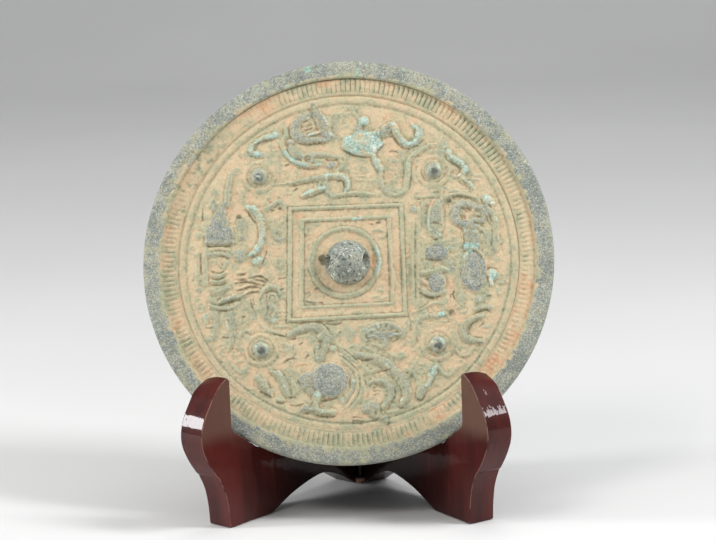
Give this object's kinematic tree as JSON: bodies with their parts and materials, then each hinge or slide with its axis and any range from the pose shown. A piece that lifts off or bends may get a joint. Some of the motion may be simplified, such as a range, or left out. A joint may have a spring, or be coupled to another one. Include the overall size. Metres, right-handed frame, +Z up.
{
  "type": "bronze mirror on stand",
  "caption": "Round bronze mirror with a pierced knob and cast relief figures, leaning in the notches of a folding hinged wooden stand.",
  "frame": {"origin": "on the surface the stand rests on, at the centre of the bounding box's plan", "axes": "+Z up, -Y towards the viewer who faces the decorated side, +X to that viewer's right"},
  "size_m": [0.1802, 0.0968, 0.1895],
  "materials": {
    "patinated_bronze": "old cast bronze with ochre earth, grey-green patina and turquoise verdigris",
    "red_brown_lacquer": "wood under glossy dark red-brown lacquer, worn along the edges",
    "dull_steel": "dull grey-brown steel"
  },
  "bodies": {
    "root": {"mirror": "patinated_bronze", "stand_board_left": "red_brown_lacquer", "stand_board_right": "red_brown_lacquer", "hinge_pin": "dull_steel"}
  },
  "joints": []
}
